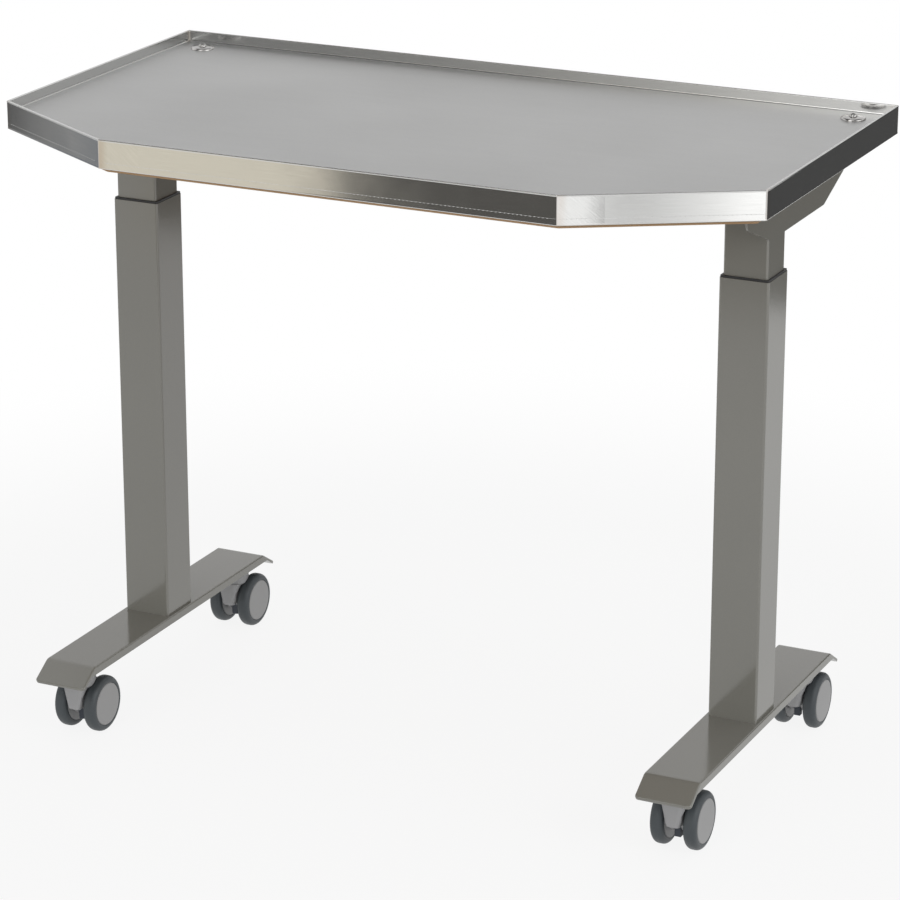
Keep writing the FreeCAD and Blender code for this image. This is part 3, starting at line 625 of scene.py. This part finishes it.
def speck_effect():
    """A few small specks, such as dust caught in paint, as a mask."""
    group, given, result = node_group(
        "specks",
        "ShaderNodeTree",
        [("Vector", "Vector", None), ("Scale", "Float", 40.0), ("Size", "Float", 0.03)],
        [("Mask", "Float")],
    )
    cells = add_node(
        group, "ShaderNodeTexVoronoi", {"Vector": given["Vector"], "Scale": given["Scale"]}
    ).outputs
    near = math_node(group, "LESS_THAN", cells["Distance"], given["Size"])
    luck = add_node(group, "ShaderNodeSeparateColor", {0: cells["Color"]}).outputs[0]
    chosen = math_node(group, "LESS_THAN", luck, 0.2)
    group.links.new(math_node(group, "MULTIPLY", near, chosen), result["Mask"])
    return group


specks = speck_effect()


def powder_paint():
    """Smooth paint with the faint waves of orange peel, a fine tooth and a few dust specks."""
    material, tree, shader = new_material("powder_coat", IOR=1.68)
    place = add_node(tree, "ShaderNodeTexCoord").outputs["Object"]
    fine = place_group(tree, grain, Vector=place, Scale=900.0)
    waves = place_group(tree, smudges, Vector=place, Scale=230.0)
    soft = place_group(tree, smudges, Vector=place, Scale=6.0)
    dust = place_group(tree, specks, Vector=place, Scale=14.0, Size=0.012)
    tone = math_node(tree, "MULTIPLY_ADD", fine, 0.75, math_node(tree, "MULTIPLY", soft, 0.25))
    colour = blend_colour(tree, tone, (0.225, 0.22, 0.194), (0.272, 0.267, 0.238))
    colour = blend_colour(tree, dust, colour, (0.55, 0.53, 0.46))
    tree.links.new(colour, shader.inputs["Base Color"])
    tree.links.new(between(tree, soft, 0.1, 0.15), shader.inputs["Roughness"])
    bump = add_node(tree, "ShaderNodeBump", {"Height": waves, "Distance": 0.000012}).outputs[0]
    bump = add_node(
        tree, "ShaderNodeBump", {"Height": fine, "Distance": 0.000003, "Normal": bump}
    ).outputs[0]
    tree.links.new(bump, shader.inputs["Normal"])
    return material


def turned(name, profile, places, finish, steps=48, up=1):
    """Equal pieces turned about upright axes; a hex ring is given by half its key's width."""
    corners = []
    faces = []
    for x, y, z in places:
        first = len(corners)
        for radius, height, shape in profile:
            for step in range(steps):
                turn = 2 * math.pi * step / steps
                reach = radius
                if shape == "hex":
                    reach = radius / math.cos((turn + math.pi / 6) % (math.pi / 3) - math.pi / 6)
                corners.append((x + reach * math.cos(turn), y + reach * math.sin(turn), z + up * height))
        for low in range(first, len(corners) - steps, steps):
            for step in range(steps):
                after = (step + 1) % steps
                faces.append((low + step, low + after, low + steps + after, low + steps + step))
        faces.append(tuple(range(first, first + steps)))
        faces.append(tuple(range(len(corners) - steps, len(corners))))
    made = mesh_object(name, corners, faces)
    made.data.materials.append(finish)
    smooth_by_angle(made)
    return made


def cap_screw(radius, rise, key):
    """The profile of a screw head with a rounded edge and a hex socket."""
    edge = radius / 6
    rounded = arc_points((radius - edge, rise - edge), edge, 0, 90, 4)
    profile = [(radius - edge / 2, -0.0005, "round"), (radius, 0.0, "round")]
    profile += [(across, height, "round") for across, height in rounded]
    profile += [(key / 2 + 0.0002, rise, "hex"), (key / 2, rise - 0.0002, "hex")]
    return profile + [(key / 2, rise * 0.45, "hex")]


powder_coat = powder_paint()
for side in sides:
    finish_nodes(powder_coat, f"foot_{side}", f"outer_tube_{side}", f"inner_tube_{side}", f"arm_{side}")
    finish_nodes(zinc_steel, f"foot_screws_{side}", f"caster_stems_{side}")
finish_nodes(powder_coat, "cross_rail")
finish_nodes(zinc_steel, "frame_screws")

foot_bolt = cap_screw(radius=0.0065, rise=0.006, key=0.006)
for side, sign in sides.items():
    spots = [
        (sign * column_offset + across * foot_screw_spread, column_back + along * foot_screw_spread)
        for across in (-1, 1)
        for along in (-1, 1)
    ]
    places = [(*spot, foot_underside) for spot in spots]
    made = turned(f"foot_bolts_{side}", foot_bolt, places, zinc_steel, up=-1)
    fit(made, f"{side}_base", "zinc_steel", f"foot_screws_{side}")
places = [(sign * arm_screw_row, y, arm_underside) for sign in sides.values() for y in arm_screw_places]
arm_bolt = cap_screw(radius=0.006, rise=0.004, key=0.004)
made = turned("arm_bolts", arm_bolt, places, zinc_steel, up=-1)
fit(made, "top_frame", "zinc_steel", "frame_screws")


# Collars and glides: moulded black plastic that keeps the sliding tubes apart. The collar
# is pressed into the outer tube's mouth, the glide into the inner tube's lower end.
black_plastic = moulded("black_plastic", (0.012, 0.012, 0.013), (0.022, 0.022, 0.024), (0.4, 0.52))
for side in sides:
    finish_nodes(black_plastic, f"collar_{side}", f"lower_glide_{side}")


# Lifting drive inside the columns: a painted gear motor hung in each head turns a steel
# spindle, which runs through a nut on a push tube that stands on the foot.
motor_paint = moulded(
    "motor_paint", (0.08, 0.08, 0.085), (0.11, 0.11, 0.115), (0.35, 0.5), grain_scale=1200.0
)
for side in sides:
    finish_nodes(motor_paint, f"motor_{side}")
    finish_nodes(zinc_steel, f"spindle_{side}", f"nut_post_{side}")


# Control box and handset: black plastic cases under the board. The box has cooling ribs
# along its lower face and the handset an arrow on each key.
box_rib_length = 0.05
box_rib_pitch = 0.008
box_rib_margin = 0.03
arrow_side = 0.0055
arrow_rise = 0.0003

key_plastic = moulded("key_plastic", (0.42, 0.43, 0.44), (0.48, 0.49, 0.5), (0.4, 0.5))
finish_nodes(black_plastic, "control_box", "handset")
finish_nodes(key_plastic, "up_button", "down_button")

low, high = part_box("control_box")
middle = (low.y + high.y) / 2
rib = bar("rib", length=box_rib_length, depth=0.002, height=0.0012)
rib.data.transform(Matrix.Scale(-1, 4, (0, 0, 1)))
run = [(x, middle, low.z + 0.0002) for x in (low.x + box_rib_margin, high.x - box_rib_margin)]
fit(row_of("box_ribs", [run], rib, box_rib_pitch, black_plastic), "top_frame", "black_plastic")


def key_arrow(name, sign):
    """A small raised triangle on a key's face, pointing up or down."""
    low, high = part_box(f"{name}_button")
    x, z = (low.x + high.x) / 2, (low.z + high.z) / 2
    flat = [(-arrow_side / 2, -sign * arrow_side / 3), (arrow_side / 2, -sign * arrow_side / 3)]
    flat.append((0, sign * arrow_side / 2))
    levels = ((1.0, low.y + 0.0001), (1.0, low.y - arrow_rise * 0.6), (0.85, low.y - arrow_rise))
    corners = [(x + share * across, y, z + share * along) for share, y in levels for across, along in flat]
    faces = [(0, 1, 2), (6, 7, 8)]
    for level in (0, 3):
        for step in range(3):
            after = (step + 1) % 3
            faces.append((level + step, level + after, level + 3 + after, level + 3 + step))
    made = mesh_object(f"{name}_arrow", corners, faces)
    made.data.materials.append(black_plastic)
    smooth_by_angle(made)
    fit(made, f"{name}_key", "black_plastic")


key_arrow("up", 1)
key_arrow("down", -1)


# Core board: plywood inside the folded tray, screwed to the arms from below. Its tan edge
# shows as a line under the steel.
ply_thickness = 0.0018


def plywood_material():
    """Tan plies in turn lighter and darker, with the grain drawn along the board."""
    material, tree, shader = new_material("plywood", Roughness=0.6)
    place = add_node(tree, "ShaderNodeTexCoord").outputs["Object"]
    height = add_node(tree, "ShaderNodeSeparateXYZ", {0: place}).outputs["Z"]
    ply = math_node(tree, "PINGPONG", height, ply_thickness)
    ply = math_node(tree, "MULTIPLY", ply, 0.6 / ply_thickness)
    fine = place_group(tree, grain, Vector=place, Stretch=(0.06, 1.0, 1.0), Scale=420.0)
    tone = math_node(tree, "ADD", ply, math_node(tree, "MULTIPLY", fine, 0.4))
    colour = blend_colour(tree, tone, (0.30, 0.165, 0.075), (0.62, 0.40, 0.22))
    tree.links.new(colour, shader.inputs["Base Color"])
    bump = add_node(tree, "ShaderNodeBump", {"Height": fine, "Distance": 0.0001}).outputs[0]
    tree.links.new(bump, shader.inputs["Normal"])
    return material


finish_nodes(plywood_material(), "core_board")


# Tray: one sheet of stainless steel, its rim folded double and its apron hemmed. The
# surface is finely ground, the rim brushed along its length, and each corner is welded
# and ground over a short stretch of the face that starts there.
tray_low, tray_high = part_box("top_tray")
corner_count = 6
corner_cut = (0.209, 0.125)
corner_round = 0.0028
least_round = 0.0006
recess = 0.0135
sheet_thickness = 0.0015
rim_inside = 0.0034
apron_face = 0.00025
hem_height = 0.008
hem_round = 0.0009
lip_round = 0.0008
ground_stretch = 0.055
heat_start = 0.001
heat_end = 0.014
arc_steps = 6
flat_edge = 0.0004
face_step = 10.0
face_lead = 1.0
crease_depth = 0.00028


def outline_corners(inset):
    """The tray's six corners, moved in by an inset, from the front left one round by the right."""
    slant = math.hypot(*corner_cut)
    side = tray_high.x - inset
    back = tray_high.y - inset
    cut_x = tray_high.x - corner_cut[0] - inset * (slant - corner_cut[0]) / corner_cut[1]
    cut_y = tray_low.y + corner_cut[1] + inset * (slant - corner_cut[1]) / corner_cut[0]
    right = [(cut_x, -back), (side, cut_y), (side, back)]
    left = [(-x, y) for x, y in reversed(right)]
    return [Vector(left[-1])] + [Vector(point) for point in right + left[:-1]]


def outline_ring(inset):
    """Points round the tray at an inset: at each corner an arc, with a point beside each end."""
    radius = max(corner_round - inset, least_round)
    middles = outline_corners(inset + radius)
    points = []
    for index, middle in enumerate(middles):
        before = (middle - middles[index - 1]).normalized()
        after = (middles[(index + 1) % corner_count] - middle).normalized()
        first = Vector((before.y, -before.x))
        last = Vector((after.y, -after.x))
        points.append(middle + first * radius - before * flat_edge)
        for step in range(arc_steps + 1):
            points.append(middle + first.lerp(last, step / arc_steps).normalized() * radius)
        points.append(middle + last * radius + after * flat_edge)
    return points


def tray_section():
    """The sheet's section as insets and heights: up the outside to the lip, and down the inside."""
    bottom, top = tray_low.z, tray_high.z
    surface = top - recess
    hem_top = bottom + hem_height
    fold = [
        (0.0015, surface - sheet_thickness),
        (0.0015, hem_top),
        (0.0030, hem_top - 0.0002),
        (0.0030, bottom + 0.0005),
        (0.0026, bottom + 0.0001),
        (0.0022, bottom),
    ]
    apron = arc_points((hem_round, bottom + hem_round), hem_round, 270, 180, 4)
    apron += [
        (0.0, bottom + 0.0014),
        (apron_face, bottom + 0.0022),
        (apron_face, bottom + 0.0026),
        (apron_face, hem_top - 0.0006),
        (apron_face, hem_top - 0.0003),
        (crease_depth, hem_top - 0.0001),
        (crease_depth, hem_top + 0.0001),
        (apron_face, hem_top + 0.0003),
        (apron_face, hem_top + 0.0006),
        (apron_face, top - 0.0021),
        (apron_face, top - 0.0018),
        (0.0, top - 0.0012),
    ]
    outer_lip = arc_points((lip_round, top - lip_round), lip_round, 180, 90, 4)
    slit = [
        (0.0013, top),
        (0.0015, top - 0.0002),
        (0.0016, top - 0.0008),
        (0.0018, top - 0.0008),
        (0.0019, top - 0.0002),
        (0.0021, top),
    ]
    inner_lip = arc_points((rim_inside - lip_round, top - lip_round), lip_round, 90, 0, 4)
    floor_edge = [
        (rim_inside, top - 0.0012),
        (rim_inside, surface + 0.0016),
        (rim_inside, surface + 0.0012),
        (rim_inside + 0.0003, surface + 0.0004),
        (rim_inside + 0.0011, surface),
        (rim_inside + 0.0016, surface),
    ]
    return fold + apron + outer_lip, slit + inner_lip + floor_edge


def make_tray():
    """The folded sheet as one shell; its map runs along each face and is above 0 inside the rim."""
    outside, inside = tray_section()
    section = outside + inside
    rings = [outline_ring(inset) for inset, height in section]
    per_ring = len(rings[0])
    per_corner = arc_steps + 3
    corners = [
        (point.x, point.y, height) for points, (inset, height) in zip(rings, section) for point in points
    ]
    last = (len(section) - 1) * per_ring
    faces = []
    for low in range(0, last, per_ring):
        for step in range(per_ring):
            after = (step + 1) % per_ring
            faces.append((low + after, low + step, low + per_ring + step, low + per_ring + after))
    faces.append(tuple(range(last, last + per_ring)))
    faces.append(tuple(reversed(range(per_ring))))
    made = mesh_object("tray", corners, faces)

    climb = [0.0]
    for (inset_a, low), (inset_b, high) in zip(section, section[1:]):
        climb.append(climb[-1] + math.hypot(inset_b - inset_a, high - low))
    outer = rings[0]
    layer = made.data.uv_layers.new(name="sheet")
    for face in made.data.polygons:
        if len(face.vertices) > 4:
            for loop in face.loop_indices:
                spot = made.data.vertices[made.data.loops[loop].vertex_index].co
                layer.data[loop].uv = (spot.x, spot.y)
            continue
        steps = [made.data.loops[loop].vertex_index % per_ring for loop in face.loop_indices]
        start = min(steps) if max(steps) - min(steps) == 1 else max(steps)
        corner, part = divmod(start, per_corner)
        on_arc = 0 < part <= arc_steps
        run = (corner - 1) % corner_count if part == 0 else corner
        origin = outer[run * per_corner + arc_steps + 1]
        for loop, step in zip(face.loop_indices, steps):
            along = -heat_start if on_arc else (outer[step] - origin).length
            height = climb[made.data.loops[loop].vertex_index // per_ring] - climb[len(outside)]
            layer.data[loop].uv = (run * face_step + face_lead + along, height)
    return made


def floor_steel():
    """The tray's ground surface: matt, with fine even grain and faint cleaning marks."""
    material, tree, shader = new_material("ground_stainless", Metallic=1.0)
    place = add_node(tree, "ShaderNodeTexCoord").outputs["Object"]
    fine = place_group(tree, grain, Vector=place, Stretch=(0.35, 1.0, 1.0), Scale=900.0)
    broad = place_group(tree, grain, Vector=place, Stretch=(0.2, 1.0, 1.0), Scale=60.0)
    soft = place_group(tree, smudges, Vector=place, Scale=5.0)
    tone = math_node(tree, "MULTIPLY_ADD", broad, 0.3, math_node(tree, "MULTIPLY", fine, 0.7))
    colour = blend_colour(tree, tone, (0.437, 0.437, 0.434), (0.541, 0.541, 0.538))
    tree.links.new(colour, shader.inputs["Base Color"])
    tree.links.new(between(tree, soft, 0.38, 0.44), shader.inputs["Roughness"])
    bump = add_node(tree, "ShaderNodeBump", {"Height": fine, "Distance": 0.00003}).outputs[0]
    tree.links.new(bump, shader.inputs["Normal"])
    return material


def rim_steel():
    """The brushed rim and apron: bright outside and duller inside, with the grain along each face."""
    material, tree, shader = new_material("brushed_stainless", Metallic=1.0)
    sheet = add_node(tree, "ShaderNodeUVMap", uv_map="sheet").outputs[0]
    brushed = place_group(tree, grain, Vector=sheet, Stretch=(0.012, 1.0, 1.0), Scale=1800.0)
    turned_map = add_node(
        tree, "ShaderNodeMapping", {"Vector": sheet, "Rotation": (0, 0, math.radians(40))}
    ).outputs[0]
    strokes = place_group(tree, grain, Vector=turned_map, Stretch=(0.05, 1.0, 1.0), Scale=700.0)
    soft = place_group(tree, smudges, Vector=sheet, Scale=22.0)
    parts = add_node(tree, "ShaderNodeSeparateXYZ", {0: sheet}).outputs
    run = math_node(tree, "FLOORED_MODULO", parts["X"], face_step)
    run = math_node(tree, "SUBTRACT", run, face_lead)
    ground = math_node(tree, "LESS_THAN", run, ground_stretch)
    fine = blend_colour(tree, ground, brushed, strokes)
    fine = add_node(tree, "ShaderNodeRGBToBW", {0: fine}).outputs[0]
    colour = blend_colour(tree, fine, (0.54, 0.54, 0.53), (0.7, 0.7, 0.69))
    near = math_node(tree, "ABSOLUTE", run)
    tint = add_node(
        tree,
        "ShaderNodeMapRange",
        {"Value": near, "From Min": heat_start, "From Max": heat_end, "To Min": 0.5, "To Max": 0.0},
        interpolation_type="SMOOTHSTEP",
    ).outputs["Result"]
    colour = blend_colour(tree, math_node(tree, "MULTIPLY", tint, soft), colour, (0.42, 0.33, 0.26))
    tree.links.new(colour, shader.inputs["Base Color"])
    rough = math_node(tree, "MULTIPLY_ADD", soft, 0.05, 0.08)
    rough = math_node(tree, "MULTIPLY_ADD", ground, -0.04, rough)
    inside = math_node(tree, "GREATER_THAN", parts["Y"], 0.0)
    rough = math_node(tree, "MULTIPLY_ADD", inside, 0.07, rough)
    tree.links.new(rough, shader.inputs["Roughness"])
    bump = add_node(tree, "ShaderNodeBump", {"Height": fine, "Distance": 0.00001}).outputs[0]
    tree.links.new(bump, shader.inputs["Normal"])
    return material


tray = make_tray()
tray_rim = rim_steel()
tray.data.materials.append(tray_rim)
tray.data.materials.append(floor_steel())
for face in tray.data.polygons:
    if len(face.vertices) > 4:
        face.material_index = 1
smooth_by_angle(tray)
fit(tray, "top_frame", "stainless", "top_tray")


# Hem crimps and weld beads: the pinches that close the hem along the apron's crease, and
# the short welds up the rim's inner corners.
left_cut, front, right_cut = 5, 0, 1
crimp_inset = 0.0004
crimp_margin = 0.012
crimp_pitch = 0.0054
bead_inset = 0.0038
bead_pitch = 0.0011


def pebble(name, length, depth, height, steps=10):
    """A small smooth lump, longest along X."""
    bm = bmesh.new()
    bmesh.ops.create_uvsphere(bm, u_segments=steps, v_segments=steps // 2 + 1, radius=0.5)
    bmesh.ops.scale(bm, vec=(length, depth, height), verts=bm.verts)
    made = mesh_object(name, [], [])
    bm.to_mesh(made.data)
    bm.free()
    return made


weld_steel = moulded(
    "weld_steel", (0.4, 0.37, 0.33), (0.62, 0.6, 0.57), (0.25, 0.4), grain_scale=900.0, metal=1.0
)
crease = tray_low.z + hem_height
edge_corners = outline_corners(crimp_inset)
runs = []
for face in (left_cut, front, right_cut):
    start, end = edge_corners[face], edge_corners[(face + 1) % corner_count]
    step = (end - start).normalized() * crimp_margin
    runs.append([(*(start + step), crease), (*(end - step), crease)])
crimp = pebble("crimp", length=0.0028, depth=0.0008, height=0.0008)
fit(row_of("hem_crimps", runs, crimp, crimp_pitch, tray_rim), "top_frame", "stainless")

surface = tray_high.z - recess
weld_top = tray_high.z - 0.0018
runs = [[(*corner, surface), (*corner, weld_top)] for corner in outline_corners(bead_inset)]
bead = pebble("bead", length=0.0024, depth=0.0024, height=0.0016)
fit(row_of("weld_beads", runs, bead, bead_pitch, weld_steel), "top_frame", "stainless")


# Corner flanges: two chromed turned discs in the back corners, slightly domed, each held
# by a button-head screw.
chrome = moulded(
    "chrome", (0.42, 0.41, 0.4), (0.52, 0.51, 0.5), (0.14, 0.2),
    grain_scale=300.0, grain_depth=0.00001, metal=1.0,
)
flange_low, flange_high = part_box("corner_flanges")
flange_radius = (flange_high.y - flange_low.y) / 2
flange_rise = flange_high.z - surface
flange_x = flange_high.x - flange_radius
flange_y = (flange_low.y + flange_high.y) / 2
flange_places = [(sign * flange_x, flange_y, surface) for sign in sides.values()]
flange_foot = 0.0004
flange_edge = 0.0026
flange_seat = 0.0066
flange_arc = arc_points((flange_radius - flange_edge, flange_foot), flange_edge, 0, 80, 8)
flange_profile = [(flange_radius, -0.0005), *flange_arc]
flange_profile += [(0.0115, flange_rise - 0.00025), (0.009, flange_rise - 0.00008)]
flange_profile += [(flange_seat, flange_rise), (flange_seat - 0.0003, flange_rise - 0.0005)]
flange_profile = [(radius, height, "round") for radius, height in flange_profile]
made = turned("flange_discs", flange_profile, flange_places, chrome)
fit(made, "top_frame", "chrome", "corner_flanges")

button_low, button_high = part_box("corner_screws")
button_radius = (button_high.y - button_low.y) / 2
button_rise = button_high.z - flange_high.z
key_half = 0.002
button_dome = button_radius - key_half - 0.0004
button_profile = [(button_radius - 0.0004, -0.0006, "round"), (button_radius, 0.0, "round")]
for across, along in arc_points((0, 0), 1, 8, 82, 8):
    reach = button_radius - button_dome * (1 - across)
    button_profile.append((reach, button_rise * along, "round"))
button_profile += [(key_half + 0.0002, button_rise, "hex"), (key_half, button_rise - 0.0002, "hex")]
button_profile.append((key_half, 0.0012, "hex"))
places = [(x, y, z + flange_rise) for x, y, z in flange_places]
made = turned("flange_buttons", button_profile, places, chrome)
fit(made, "top_frame", "chrome", "corner_screws")
